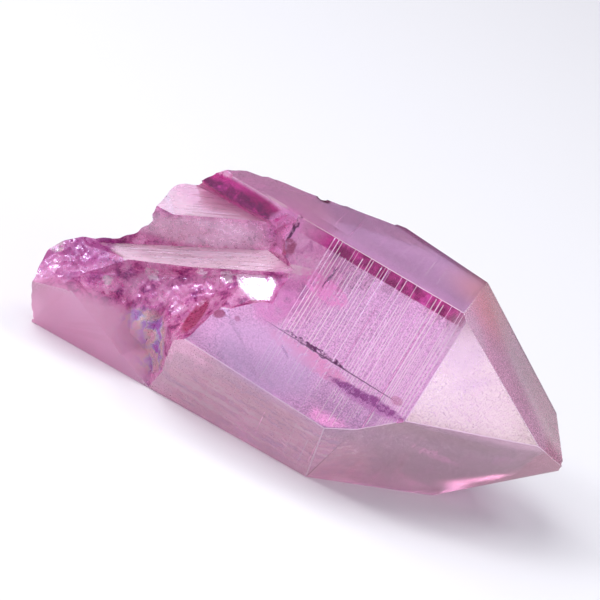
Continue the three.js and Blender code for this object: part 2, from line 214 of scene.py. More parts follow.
# fine lines on the pale ledges of the broken end: they run from the first corner to the second and
# follow each other towards the third
ledgeLines = {
    "upperLedge": dict(corners="ledgeLow ledgeTip ledgeTop", count=13, pitch=0.42, depth=0.03,
                       shortest=4, longest=12, seed=12),
    "shelfLeft": dict(corners="shelfEnd shelfTop shelfMid", count=9, pitch=0.4, depth=0.03,
                      shortest=8, longest=20, seed=14),
    "shelfRight": dict(corners="shelfMid shelfTip shelfTop", count=8, pitch=0.45, depth=0.03,
                       shortest=4, longest=12, seed=15),
}

# how much the lines differ: room between them from the first to the last, how far each is moved,
# slid along the spare length, and its depth and width beside the depth that its face gives
lineVariety = dict(
    room=(0.75, 1.25), moved=(-0.3, 0.3), slid=(-0.42, 0.42), depth=(0.5, 1.2), width=(0.9, 2.4))


# growth lines with Geometry Nodes: a row of points, a thin diamond bar on each
def lineTree():
    tree = bpy.data.node_groups.new("growthLines", "GeometryNodeTree")
    tree.interface.new_socket("Geometry", in_out="OUTPUT", socket_type="NodeSocketGeometry")
    for name, kind in (("Count", "Int"), ("Pitch", "Float"), ("Depth", "Float"), ("Shortest", "Float"),
                       ("Longest", "Float"), ("Seed", "Int"), ("Finish", "Material")):
        tree.interface.new_socket(name, in_out="INPUT", socket_type="NodeSocket" + kind)
    node = nodeMaker(tree)
    given = node("NodeGroupInput").outputs
    made = node("NodeGroupOutput")

    def chance(low, high, offset):
        # a number drawn for each line; the offset keeps the draws apart
        seed = maths(node, "ADD", given["Seed"], offset)
        draw = node("FunctionNodeRandomValue", dict(data_type="FLOAT"), Seed=seed)
        limits = {socket.name: socket for socket in draw.inputs if socket.type == "VALUE"}
        plug(limits["Min"], low)
        plug(limits["Max"], high)
        return next(socket for socket in draw.outputs if socket.type == "VALUE")

    first, last = lineVariety["room"]
    index = node("GeometryNodeInputIndex").outputs[0]
    room = maths(node, "MULTIPLY_ADD", maths(node, "DIVIDE", index, given["Count"]), last - first, first)
    place = maths(node, "ADD", maths(node, "MULTIPLY", index, room), chance(*lineVariety["moved"], 1))
    along = maths(node, "MULTIPLY", maths(node, "MULTIPLY", place, given["Pitch"]), -1.0)
    length = chance(given["Shortest"], given["Longest"], 2)
    spare = maths(node, "SUBTRACT", given["Longest"], length)
    across = maths(node, "MULTIPLY", spare, chance(*lineVariety["slid"], 3))
    deep = maths(node, "MULTIPLY", given["Depth"], chance(*lineVariety["depth"], 4))
    wide = maths(node, "MULTIPLY", deep, chance(*lineVariety["width"], 5))

    spot = node("ShaderNodeCombineXYZ", X=along, Y=across).outputs[0]
    size = node("ShaderNodeCombineXYZ", X=wide, Y=length, Z=deep).outputs[0]
    row = node("GeometryNodePoints", s0=given["Count"]).outputs[0]
    row = node("GeometryNodeSetPosition", Geometry=row, Position=spot).outputs[0]
    bar = node("GeometryNodeMeshCylinder", Vertices=4, Radius=1.0, Depth=1.0).outputs["Mesh"]
    bar = node("GeometryNodeTransform", Geometry=bar, Rotation=(math.pi / 2, 0, 0)).outputs[0]
    bars = node("GeometryNodeInstanceOnPoints", Points=row, Instance=bar, Scale=size).outputs[0]
    bars = node("GeometryNodeRealizeInstances", Geometry=bars).outputs[0]
    bars = node("GeometryNodeSetMaterial", Geometry=bars, Material=given["Finish"]).outputs[0]
    plug(made.inputs[0], bars)
    return tree


def lineCutter(tree, name, lines, finish, matrix):
    made = objectFrom(name + "Lines", bmesh.new())
    grow = made.modifiers.new("lines", "NODES")
    grow.node_group = tree
    for item in tree.interface.items_tree:
        if item.in_out == "INPUT":
            grow[item.identifier] = finish if item.name == "Finish" else lines[item.name.lower()]
    plainMesh(made)
    made.data.transform(matrix)
    return made


def ledgeMatrix(corners):
    first, last, beyond = (Vector(breakCorners[name][:3]) for name in corners.split())
    lengthwise = (last - first).normalized()
    facing = lengthwise.cross(beyond - first).normalized()
    facing = facing if facing.z > 0 else -facing
    across = lengthwise.cross(facing)
    if across.dot(beyond - first) > 0:
        lengthwise, across = -lengthwise, -across
    turn = Matrix((across, lengthwise, facing)).transposed().to_4x4()
    return Matrix.Translation((first + last) / 2) @ turn


# two shallow steps on the back face: their ends along it and across it, and their depth (mm);
# each is cut by a block of this height
backSteps = [
    dict(along=(-58, -14), across=(-7.5, 4), depth=0.45),
    dict(along=(-36, 6), across=(-26, -17.5), depth=0.6),
]
stepBlock = 2


def stepCutter(step):
    (start, end), (low, high) = step["along"], step["across"]
    middle = pointOnFace("back", (start + end) / 2, (low + high) / 2)
    middle.z -= stepBlock / 2 - step["depth"]
    bm = bmesh.new()
    bmesh.ops.create_cube(bm, size=1)
    size = Matrix.Diagonal((end - start, high - low, stepBlock, 1))
    bmesh.ops.transform(bm, matrix=Matrix.Translation(middle) @ size, verts=bm.verts)
    return objectFrom("backStep", bm)


# the facets of the broken end between its corners, anticlockwise from in front
breakFacets = [
    "stripEnd ledgeEnd ledgeTop strip", "strip ledgeTop ledgeTip stripTip",
    "ledgeEnd ledgeOut ledgeLow ledgeTop", "ledgeTop ledgeLow ledgeTip",
    "ledgeOut riserOut shelfEnd", "ledgeOut shelfEnd ledgeLow", "ledgeLow shelfEnd shelfTop ledgeTip",
    "ledgeTip notchFloor stripTip", "stripTip notchFloor notchTop", "notchTop notchFloor notchRight",
    "notchFloor wallMid notchRight", "notchFloor wallFoot wallMid", "wallFoot wallLow wallMid",
    "ledgeTip shelfTop wallFoot", "ledgeTip wallFoot notchFloor", "shelfTop shelfTip wallLow",
    "shelfTop wallLow wallFoot",
    "shelfEnd shelfFoot shelfEdge", "shelfEnd shelfEdge shelfMid", "shelfEnd shelfMid shelfTop",
    "shelfMid shelfTip shelfTop",
    "shelfEdge roughLeft shelfMid", "roughLeft roughHigh shelfMid", "shelfMid roughHigh glintLeft",
    "shelfMid glintLeft glintTop", "shelfMid glintTop shelfTip", "shelfTip glintTop glintSide",
    "shelfTip glintSide rimTop",
    "glintLeft glintLow glintFoot", "glintLeft glintFoot glintRight", "glintLeft glintRight glintSide",
    "glintLeft glintSide glintTop",
    "glintSide rimUpper rimTop", "glintSide glintRight rimUpper", "glintRight rimBend rimUpper",
    "glintRight rimTurn rimBend", "glintFoot rimTurn glintRight", "glintFoot rimMid rimTurn",
    "glintLow rimMid glintFoot", "glintLow roughMid rimMid", "glintLeft roughMid glintLow",
    "roughHigh roughMid glintLeft", "roughMid roughLow rimMid", "roughLow rimLow rimMid",
    "roughLow rimEnd rimLow", "roughHigh roughDeep roughMid", "roughDeep roughLow roughMid",
    "roughDeep roughSpur roughLow", "roughSpur rimEnd roughLow", "roughSpur rimCorner rimEnd",
    "roughLeft roughDeep roughHigh", "roughLeft roughWide roughDeep",
    "riserOut outerTop shelfEnd", "shelfEnd outerTop shelfFoot", "shelfFoot outerTop roughEdge",
    "outerTop outerLeft roughEdge", "shelfFoot roughEdge roughFar", "shelfFoot roughFar shelfEdge",
    "shelfEdge roughFar roughLeft", "roughFar roughWide roughLeft",
    "roughFar cheekPeak roughWide", "cheekPeak cheekMid roughWide", "roughEdge cheekEnd roughFar",
    "cheekEnd cheekPeak roughFar", "outerLeft cheekEnd roughEdge", "outerLeft outerLow cheekEnd",
    "outerLow clearPeak cheekEnd", "cheekEnd clearPeak cheekPeak", "cheekPeak clearPeak cheekMid",
    "clearPeak clearMid cheekMid", "cheekMid clearMid cheekLow", "clearMid clearLow cheekLow",
    "cheekLow clearLow cheekFoot", "clearLow clearFoot cheekFoot",
    "roughWide cheekMid hollowLeft", "roughWide hollowLeft roughDeep", "roughDeep hollowLeft hollow",
    "roughDeep hollow roughSpur", "hollowLeft cheekMid cheekLow", "hollowLeft cheekLow hollow",
    "hollow cheekLow hollowLow", "cheekLow cheekFoot hollowLow", "hollow hollowLow roughSpur",
    "roughSpur hollowLow rimCorner", "hollowLow lipTop rimCorner", "hollowLow cheekFoot lipTop",
    "cheekFoot clearFoot lipLow", "cheekFoot lipLow lipTop",
]
# how often a facet is split, how far out the cutter reaches, and the lumps of its surface (mm)
ledges = dict(splits=4, height=70, lump=0.36, lumpScale=3.2, wander=0.7, fineLump=0.1, fineScale=1.8)


def ledgeCutter():
    # what is missing in front of the ledges: their surface, a flat copy well clear of the crystal,
    # and a wall round both
    bm = bmesh.new()
    low, high = {}, {}

    def corner(spot):
        key = tuple(round(v, 4) for v in spot[:3])
        if key not in low:
            x, y, z, rough = spot
            spot = Vector((x, y, z))
            broad = noise.noise(spot / ledges["lumpScale"])
            fine = crumble(spot / ledges["fineScale"])
            uneven = broad + wander(x * ledges["wander"], y * ledges["wander"])
            lump = ledges["lump"] * uneven + ledges["fineLump"] * fine
            low[key] = bm.verts.new((x, y, z + rough * lump))
            high[key] = bm.verts.new((x, y, ledges["height"]))
        return key

    def split(a, b, c, times):
        if times == 0:
            a, b, c = corner(a), corner(b), corner(c)
            bm.faces.new((low[a], low[c], low[b]))
            bm.faces.new((high[a], high[b], high[c]))
            return
        ab, bc, ca = [tuple((p + q) / 2 for p, q in zip(s, t)) for s, t in ((a, b), (b, c), (c, a))]
        for corners in ((a, ab, ca), (ab, b, bc), (ca, bc, c), (ab, bc, ca)):
            split(*corners, times - 1)

    for facet in breakFacets:
        corners = [breakCorners[name] for name in facet.split()]
        for i in range(1, len(corners) - 1):
            split(corners[0], corners[i], corners[i + 1], ledges["splits"])
    lowered = {vert: key for key, vert in low.items()}
    rim = [e for e in bm.edges if e.is_boundary and e.verts[0] in lowered]
    for edge in rim:
        loop = edge.link_loops[0]
        a, b = loop.vert, loop.link_loop_next.vert
        bm.faces.new((b, a, high[lowered[a]], high[lowered[b]]))
    return objectFrom("ledgeCutter", bm)


# the end itself and the long scallop behind, each a rippled fracture: a point on it, the way it
# faces, where its shell-like rings start, and the bulges that stand out of it
fractures = {
    "end": dict(
        through=(-47.4, 0, 1), facing=(-0.86, 0.45, -0.25), strike=(-55, -20, -34), size=110,
        segments=180, ripple=0.42, wave=8.5,
        bulges=[dict(height=7.5, at=(-25.5, -9), spread=(7.5, 13)),
                dict(height=3, at=(-6.5, -4), spread=(3.2, 6))],
    ),
    "back": dict(
        through=(-15.7, 11.1, -17.3), facing=(-0.44, 0.724, -0.531), strike=(-46, 4, -12), size=90,
        segments=150, ripple=0.34, wave=9.5, bulges=[],
    ),
}
fractureThickness = 40
# the shell-like ribs of a fracture: the size of the noise (mm) that bends them and how far it does,
# how high a step is, how the stone between wanders (per mm), its grit and how deep it all sits
ribs = dict(noiseSize=6, bend=0.3, step=1.8, wander=(0.4, 0.3), grit=0.4, sink=0.9)


def fractureCutter(name, fracture):
    facing = Vector(fracture["facing"]).normalized()
    bm = bmesh.new()
    grid = bmesh.ops.create_grid(
        bm, x_segments=fracture["segments"], y_segments=fracture["segments"], size=fracture["size"] / 2)
    inner = set(grid["verts"])
    made = bmesh.ops.extrude_face_region(bm, geom=bm.faces[:])
    outer = [v for v in made["geom"] if isinstance(v, bmesh.types.BMVert)]
    bmesh.ops.translate(bm, verts=outer, vec=(0, 0, fractureThickness))
    bmesh.ops.transform(bm, matrix=facingMatrix(facing, fracture["through"]), verts=bm.verts)
    strike = Vector(fracture["strike"])
    for vert in inner:
        spot = vert.co.copy()
        fine = crumble(spot / ribs["noiseSize"])
        ring = (spot - strike).length / fracture["wave"] + ribs["bend"] * fine
        step = ribs["step"] * (1 - (ring - math.floor(ring)))
        uneven = wander(spot.y * ribs["wander"][0], spot.z * ribs["wander"][1])
        swell = fracture["ripple"] * (step + uneven + ribs["grit"] * fine - ribs["sink"])
        for bulge in fracture["bulges"]:
            across = (spot.y - bulge["at"][0]) / bulge["spread"][0]
            deep = (spot.z - bulge["at"][1]) / bulge["spread"][1]
            swell += bulge["height"] * math.exp(-across * across - deep * deep)
        vert.co = spot + facing * swell
    bmesh.ops.recalc_face_normals(bm, faces=bm.faces)
    return objectFrom(name + "Fracture", bm)


chips = [
    dict(at=(-31.3, 6.7, -9.6), size=1.1), dict(at=(-0.9, -19.4, 0.4), size=1.1),
    dict(at=(25.7, -9.5, -24.2), size=1.6), dict(at=(-24, 9.9, -15.4), size=1.5),
    dict(at=(-20, -27.3, 0.4), size=1.2), dict(at=(-41, -1.2, -32.3), size=2.2),
    dict(at=(-18, -22.3, -32.4), size=1.9), dict(at=(-46, 0.9, 1.2), size=2.4),
]
# their shape: lumps, how finely (per mm), the middle that they face away from, how little that
# counts along the crystal, and how far out of it they sit
chipShape = dict(lump=0.12, lumpScale=0.9, middle=(-15, -12, -16), lengthwise=0.3, out=0.55)


def chipCutter(index, chip):
    bm = bmesh.new()
    bmesh.ops.create_icosphere(bm, subdivisions=2, radius=chip["size"])
    for vert in bm.verts:
        uneven = noise.noise(vert.co * chipShape["lumpScale"] + Vector((index, 0, 0)))
        vert.co *= 1 + chipShape["lump"] * uneven
    outwards = Vector(chip["at"]) - Vector(chipShape["middle"])
    outwards.x *= chipShape["lengthwise"]
    centre = Vector(chip["at"]) + outwards.normalized() * chip["size"] * chipShape["out"]
    bmesh.ops.translate(bm, verts=bm.verts, vec=centre)
    return objectFrom("chip", bm)


# the film's tint and the roughness on broken stone, on the pale ledges and on the bright glint; the glint's
# near-white tint is a painted highlight over its real reflection of the glint card
brokenFinish = dict(film=(0.88, 0.48, 0.78), rough=0.12)
ledgeFinish = dict(film=(1.0, 0.87, 0.89), rough=0.3)
paintedWhiteGlintFinish = dict(film=(1.0, 0.97, 1.0), rough=0.06)
paleLedges = [
    "ledgeTop ledgeLow ledgeTip", "ledgeEnd ledgeOut ledgeLow", "ledgeEnd ledgeLow ledgeTop",
    "shelfEnd shelfMid shelfTop", "shelfMid shelfTip shelfTop", "shelfEnd shelfEdge shelfMid",
]
# the bright glint's facets, painted near white as a highlight
glints = [
    "glintLeft glintLow glintFoot", "glintLeft glintFoot glintRight", "glintLeft glintRight glintSide",
    "glintLeft glintSide glintTop",
]
# what counts as part of a flat face: mm off it, degrees turned from it, mm past a ledge's sides;
# what counts as the side of a growth line: degrees and mm into the face; and what stays a sharp edge
painting = dict(off=0.09, turned=45, past=0.4, lineTurned=8, lineDeep=0.004, sharp=38)


def trianglePlane(centres, corners):
    # the plane of a ledge's triangle, seen from the front, and which facets lie between its sides
    a, b, c = (Vector(breakCorners[name][:3]) for name in corners.split())
    normal = (b - a).cross(c - a).normalized()
    within = np.ones(len(centres), bool)
    for start, end in ((a, b), (b, c), (c, a)):
        inward = normal.cross(end - start).normalized()
        within &= centres @ np.array(inward) > inward.dot(start) - painting["past"]
    normal = normal if normal.z > 0 else -normal
    return normal, normal.dot(a), within


def paintFaces(made):
    # each facet carries the tint and roughness of the natural face or ledge that it lies in, and
    # whether it is broken stone (shaded smooth), a pale ledge or the side of a growth line
    polygons, count = made.data.polygons, len(made.data.polygons)
    centres, normals = np.empty(count * 3, np.float32), np.empty(count * 3, np.float32)
    polygons.foreach_get("center", centres)
    polygons.foreach_get("normal", normals)
    centres, normals = centres.reshape(-1, 3), normals.reshape(-1, 3)
    tint = np.tile((*brokenFinish["film"], 1.0), (count, 1)).astype(np.float32)
    rough = np.full(count, brokenFinish["rough"], np.float32)
    broken, lined, pale = np.ones(count, bool), np.zeros(count, bool), np.zeros(count, bool)

    planes = [(*trianglePlane(centres, corners), ledgeFinish) for corners in paleLedges]
    planes += [(*trianglePlane(centres, corners), paintedWhiteGlintFinish) for corners in glints]
    planes += [(faceNormal(face), face["reach"], True, face) for face in crystalFaces.values()]
    back = crystalFaces["back"]
    planes += [(faceNormal(back), back["reach"] - step["depth"], True, back) for step in backSteps]
    for normal, reach, within, finish in planes:
        facing, height = normals @ np.array(normal), centres @ np.array(normal) - reach
        near = (np.abs(height) < painting["off"]) & within
        near &= facing > math.cos(math.radians(painting["turned"]))
        tint[near] = (*finish["film"], 1.0)
        rough[near] = finish["rough"]
        broken[near] = False
        pale[near] = finish is ledgeFinish
        turned = facing < math.cos(math.radians(painting["lineTurned"]))
        lined[near & turned & (height < -painting["lineDeep"])] = True

    film = made.data.attributes.new("filmTint", "FLOAT_COLOR", "FACE")
    film.data.foreach_set("color", tint.ravel())
    for name, values in dict(faceRough=rough, brokenStone=broken, lineSide=lined, paleLedge=pale).items():
        share = made.data.attributes.new(name, "FLOAT", "FACE")
        share.data.foreach_set("value", values.astype(np.float32))
    polygons.foreach_set("use_smooth", broken)
    polygons.foreach_set("material_index", np.zeros(count, np.int32))
    made.data.set_sharp_from_angle(angle=math.radians(painting["sharp"]))


def layDown(made):
    # turns the crystal on to its resting face and puts it where the frame's crystal is
    up = -faceNormal(crystalFaces["resting"])
    lengthwise = (Vector((1, 0, 0)) - up * up.x).normalized()
    away = up.cross(lengthwise)
    turn = Matrix((lengthwise, away, up)).to_4x4()
    made.data.transform(Matrix.Scale(mm, 4) @ turn)
    corners = np.empty(len(made.data.vertices) * 3, np.float32)
    made.data.vertices.foreach_get("co", corners)
    corners = corners.reshape(-1, 3)
    lowest, highest = corners.min(0), corners.max(0)
    cadLow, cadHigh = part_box("crystal")
    shift = [float(cadLow[i] + cadHigh[i] - lowest[i] - highest[i]) / 2 for i in range(2)]
    shift = Matrix.Translation((*shift, float(cadLow[2] - lowest[2])))
    made.data.transform(shift)
    made.data.update()
    return shift @ Matrix.Scale(mm, 4) @ turn


# coloured marks in the skin of the crystal, among them a painted shadow, a painted glint and a painted
# reflection,
# each a soft ellipsoid in the growth axes: where, how far it reaches each way (mm), how far it turns from the
# crystal's length (degrees), its colour, how strong it is and how much of it is soft edge; a ragged one is
# stirred and broken up by noise
marks = {
    "cheek": dict(at=(-54, -34, -10), size=(15, 9.5, 13), colour=(1.0, 0.62, 0.82),
                  strength=0.95, edge=0.35),
    "upperLeft": dict(at=(-44, 2, -3), size=(20, 10, 12), colour=(0.92, 0.46, 0.70), strength=0.5),
    "riser": dict(at=(-45, -9.5, -3), size=(14, 5, 4), turn=25, colour=(1.0, 0.84, 0.95),
                  strength=0.75, edge=0.5),
    "brightStrip": dict(at=(-43, -1.2, 0.6), size=(13, 2.0, 5), turn=1, colour=(0.66, 0.008, 0.30),
                        strength=0.97),
    "darkStrip": dict(at=(-38.6, -0.8, 1.4), size=(5, 1.6, 4), turn=1, colour=(0.34, 0.0, 0.12),
                      strength=0.9, edge=0.5),
    "stripSpecks": dict(at=(-42, -1.8, 2), size=(9, 1.6, 3), turn=1, colour=(0.16, 0.0, 0.08),
                        strength=0.9, ragged=True),
    "paleVein": dict(at=(-35.5, 1.2, 1.4), size=(6, 0.4, 2), turn=-2, colour=(1.0, 0.80, 0.92),
                     strength=0.8),
    "notch": dict(at=(-33.4, -2.4, 0), size=(3.2, 5, 4.5), turn=-8, colour=(0.94, 0.38, 0.78),
                  strength=0.9, ragged=True),
    "notchCrack": dict(at=(-31.8, -1.8, 1.2), size=(0.5, 3.8, 3), turn=4, colour=(0.07, 0.0, 0.04),
                       strength=1.0, ragged=True),
    "notchRed": dict(at=(-31, -4.4, 1.2), size=(1.5, 1.7, 3), colour=(0.36, 0.04, 0.12),
                     strength=0.9, ragged=True),
    "shelfFade": dict(at=(-28.6, -7.2, 1.4), size=(5, 1, 2), turn=22, colour=(1.0, 0.84, 0.90),
                      strength=0.85),
    # painted shadow: the reddish dark line beside the front face, where the broken stone rises to it
    "redShadowLine": dict(at=(-38.5, -21.4, -2), size=(1.5, 4.6, 5), colour=(0.42, 0.02, 0.10), strength=0.95),
    "swirl": dict(at=(-22.5, -7.2, 0.6), size=(5.5, 2.2, 2), turn=-8, colour=(0.98, 0.34, 0.74),
                  strength=0.85, ragged=True),
    "glintRim": dict(at=(-28.5, -12, 0.8), size=(4, 6, 2), colour=(0.84, 0.26, 0.66),
                     strength=0.6, ragged=True),
    "belowLine": dict(at=(-19, -18.3, 0.6), size=(9, 1.6, 1.5), turn=-3, colour=(0.94, 0.38, 0.66),
                      strength=0.8, ragged=True),
    "thinLine": dict(at=(-15.2, -16.8, 0.5), size=(16, 0.13, 1), turn=-1, colour=(0.04, 0.0, 0.02),
                     strength=0.85),
    "thickLine": dict(at=(-18.5, -16.5, 0.6), size=(7, 0.5, 1), turn=-1, colour=(0.05, 0.0, 0.03),
                      strength=1.0, ragged=True),
    "purpleBand": dict(at=(-7, -19.3, 0.4), size=(8.5, 1.5, 1), turn=1, colour=(0.56, 0.18, 0.54),
                       strength=0.7, edge=0.5),
    "purpleCore": dict(at=(-7.5, -19.0, 0.4), size=(8, 0.9, 1), turn=1, colour=(0.22, 0.01, 0.20),
                       strength=0.9, ragged=True),
    "darkDot": dict(at=(-34.9, -19.5, 0.9), size=(1.2, 0.8, 1), turn=40, colour=(0.30, 0.01, 0.08),
                    strength=0.9),
    "smallDot": dict(at=(-32, -18.7, 0.9), size=(0.6, 0.5, 1), colour=(0.34, 0.01, 0.10), strength=0.8),
    "shortDash": dict(at=(-22.8, -19.2, 0.7), size=(1.3, 0.25, 1), turn=-30, colour=(0.16, 0.02, 0.16),
                      strength=0.9),
    "lineStart": dict(at=(-22.6, -5.2, 0.5), size=(0.25, 2.6, 1), turn=-8, colour=(0.10, 0.02, 0.12),
                      strength=0.8, ragged=True),
    "brownPatch": dict(at=(-3.2, -16.8, 0.2), size=(1.2, 0.8, 1), colour=(0.50, 0.14, 0.20), strength=0.5),
    "topPit": dict(at=(-31.3, 6.7, -9.6), size=(1.5, 1.5, 1.5), colour=(0.10, 0.0, 0.04), strength=1.0),
    "warmTop": dict(at=(1, 6, -12), size=(11, 9, 13), colour=(1.0, 0.46, 0.42), strength=0.8, edge=0.9),
    "pointShade": dict(at=(2.1, -2.5, -1.6), size=(6.5, 8, 6), colour=(0.74, 0.68, 0.74),
                       strength=0.6, edge=0.6),
    "greyBand": dict(at=(6, -7.5, -4.5), size=(8, 1.8, 7), turn=44, colour=(0.70, 0.64, 0.70),
                     strength=0.5, edge=0.9),
    # a painted glint: a small pink highlight on the lip of the hollow
    "paintedPinkGlint": dict(at=(-41.2, -33.2, -9.5), size=(1.1, 1, 3), colour=(1.0, 0.20, 0.42),
                      strength=0.95, ragged=True),
    "leftTip": dict(at=(-60.5, -19.5, -8), size=(5, 4.5, 6), colour=(0.26, 0.01, 0.22),
                    strength=0.9, ragged=True),
    "leftEnd": dict(at=(-63, -22, -7), size=(10, 8, 8), colour=(0.54, 0.07, 0.36), strength=0.75, edge=0.6),
    "lilacCorner": dict(at=(-25, -22, 0.7), size=(12, 6.5, 2), colour=(0.80, 0.66, 0.98),
                        strength=0.6, edge=0.5),
    # a painted reflection: a pale streak of light reflected inside the crystal, near the tip
    "paintedInnerReflection": dict(at=(6, -20.2, -13), size=(6, 0.5, 9), turn=13, colour=(1.0, 0.62, 0.80),
                        strength=0.9, ragged=True),
}
# painted glints in the broken end: small pale, smooth spots that look like bright facets; where each one is
# and how far it reaches (mm)
paintedGlints = [
    dict(at=(-48.8, -18.8, -7), size=(1.6, 1.1, 2)), dict(at=(-41.5, -14.8, -4), size=(1.6, 0.9, 2)),
    dict(at=(-64.6, -22.8, -8), size=(1.3, 1.2, 3)), dict(at=(-37.6, -13.2, -3), size=(1.4, 1, 2)),
    dict(at=(-54.5, -23.4, -7.5), size=(0.9, 0.8, 2)),
]
# the painted glints' pale tint, their low roughness and how strongly they are painted
paintedGlintFinish = dict(film=(1.0, 0.93, 1.0), rough=0.04, strength=0.9)
# the band of painted shade along the front face's upper edge and the dark line lie in the skin of their faces
# only (mm);
# the band fades in and out along the crystal
edgeShadeBand = dict(width=2.0, soft=0.12, skin=0.16, fadesIn=(-34, -26), fadesOut=(-0.7, -0.2),
                tints=[(0.42, (0.26, 0.0, 0.10)), (0.62, (0.66, 0.03, 0.34))])
rimLine = dict(upper=1.9, point=0.8, soft=0.6, skin=0.14, colour=(0.26, 0.05, 0.20), strength=0.85)
# where the lower front face is streaked, the front face is mottled and the hollow has its colours
veiled = dict(at=(-18, -31, -9), size=(25, 9, 12), strength=0.7, edge=0.3)
mottled = dict(at=(-26.5, -6.5, 1), size=(8.5, 11, 5), strength=0.6, edge=0.6)
hollow = dict(at=(-44.5, -28.8, -10), size=(6.5, 6, 7), strength=0.85)


# the noise patterns of the finish: how fine (per mm unless stretched), how many layers and how rough
# they are, which part of the noise shows, and what that part is turned into
patterns = dict(
    gaps=dict(scale=0.9, layers=4, rough=0.7, shows=(0.36, 0.5)),
    cloud=dict(scale=0.07, layers=4, rough=0.55, warp=0.6, shows=(0.3, 0.7), gives=(0.86, 1.06)),
    speckle=dict(scale=4, layers=2, rough=0.6),
    grain=dict(scale=7, layers=1, rough=0.5, shows=(0.35, 0.65), gives=(-0.2, 0.18)),
    ledgeStreaks=dict(scale=1, layers=3, rough=0.6, shows=(0.3, 0.7), gives=(0.36, 0.62)),
    veil=dict(scale=1, layers=5, rough=0.6, shows=(0.56, 0.72), gives=(0, 0.35)),
    streaks=dict(scale=1.7, layers=5, rough=0.65),
    lumps=dict(scale=0.35, layers=5, rough=0.62, warp=0.4),
    fineLumps=dict(scale=1.3, layers=4, rough=0.7, shows=(0.3, 0.7), gives=(-0.09, 0.09)),
    tears=dict(scale=0.5, layers=4, rough=0.7, shows=(0.56, 0.60)),
    rainbow=dict(scale=0.4, layers=2, rough=0.5),
    gloss=dict(scale=1.5, layers=3, rough=0.6, shows=(0.40, 0.60), gives=(0.02, 0.55)),
)
# how far ragged outlines are stirred (mm), and how the veils and the ledges' streaks are drawn out
stirring = dict(scale=0.8, layers=3, reach=1.6)
drawnOut = (0.05, 0.6, 0.6)
ledgeGrain = dict(turn=25, size=(12, 0.4, 0.4), lift=0.1)
# what the speckle does to the tint and to the roughness, and what else roughens the film
speckling = dict(shows=(0.35, 0.65), gives=(-0.3, 0.22), relief=0.3, height=0.00003)
roughening = dict(shows=(0.3, 0.7), gives=(0.7, 1.35), cheek=0.6, torn=0.4)
# only the bright glint is smoother than this, and a mark without an edge of its own has this one
glintBelow = 0.09
softEdge = 0.3
veilTint = (0.96, 0.62, 0.80)
lineTint = (1.0, 0.94, 0.99)
# broken stone pales with its depth behind the front face (mm)
stoneDepth = dict(shows=(-16, -9), gives=(0.1, 1))
streakTints = [(0.40, (0.66, 0.56, 0.68)), (0.50, (0.98, 0.60, 0.68)), (0.60, (1.0, 0.86, 0.88))]
stoneTints = [
    (0.34, (0.18, 0.0, 0.11)), (0.42, (0.50, 0.06, 0.30)), (0.51, (0.82, 0.26, 0.56)),
    (0.68, (1.0, 0.56, 0.82)),
]
rainbowTints = [
    (0.34, (0.40, 0.10, 0.62)), (0.42, (0.42, 0.46, 0.92)), (0.48, (0.66, 0.84, 0.72)),
    (0.54, (0.92, 0.78, 0.52)), (0.62, (1.0, 0.62, 0.74)),
]
# the quartz, its coloured film (thickness in nm) and the tint of the stone inside
quartzBody = dict(ior=1.544, clear=0.68, tint=(0.90, 0.38, 0.68), density=24)
quartzFilm = dict(thickness=345, ior=1.68, coat=0.2, coatRough=0.08)


def nodeTools(owner):
    owner.use_nodes = True
    owner.node_tree.nodes.clear()
    return nodeMaker(owner.node_tree)


def spread(node, value, low, high, toLow=0.0, toHigh=1.0, smooth=False):
    kind = dict(interpolation_type="SMOOTHSTEP" if smooth else "LINEAR")
    return node("ShaderNodeMapRange", kind, Value=value, From_Min=low, From_Max=high,
                To_Min=toLow, To_Max=toHigh).outputs[0]


def pattern(node, place, name):
    look = patterns[name]
    cloudy = node("ShaderNodeTexNoise", Vector=place, Scale=look["scale"], Detail=look["layers"],
                  Roughness=look["rough"], Distortion=look.get("warp", 0)).outputs[0]
    if "shows" not in look:
        return cloudy
    return spread(node, cloudy, *look["shows"], *look.get("gives", (0, 1)))


def pick(node, share, first, second):
    return node("ShaderNodeMix", s0=share, s2=first, s3=second).outputs[0]


def blend(node, share, under, over):
    mixer = node("ShaderNodeMix", dict(data_type="RGBA"), s0=share)
    for socket, colour in ((6, under), (7, over)):
        plug(mixer.inputs[socket], (*colour, 1) if isinstance(colour, tuple) else colour)
    return mixer.outputs[2]


def ramp(node, value, stops):
    made = node("ShaderNodeValToRGB", Fac=value)
    steps = made.color_ramp.elements
    while len(steps) < len(stops):
        steps.new(0.5)
    for step, (position, colour) in zip(steps, stops):
        step.position = position
        step.color = (*colour, 1)
    return made.outputs[0]


def painted(node, name):
    return node("ShaderNodeAttribute", dict(attribute_name=name)).outputs["Fac"]


def ellipsoid(node, place, mark):
    local = node("ShaderNodeMapping", dict(vector_type="TEXTURE"), Vector=place, Location=mark["at"],
                 Rotation=(0, 0, math.radians(mark.get("turn", 0))), Scale=mark["size"]).outputs[0]
    inside = node("ShaderNodeTexGradient", dict(gradient_type="SPHERICAL"), Vector=local).outputs[1]
    return spread(node, inside, 0, mark.get("edge", softEdge), 0, mark["strength"], smooth=True)


def offFace(node, place, name):
    # how far a place lies outside a flat face (mm)
    face = crystalFaces[name]
    along = node("ShaderNodeVectorMath", dict(operation="DOT_PRODUCT"), s0=place, s1=tuple(faceNormal(face)))
    return maths(node, "SUBTRACT", along.outputs["Value"], face["reach"])


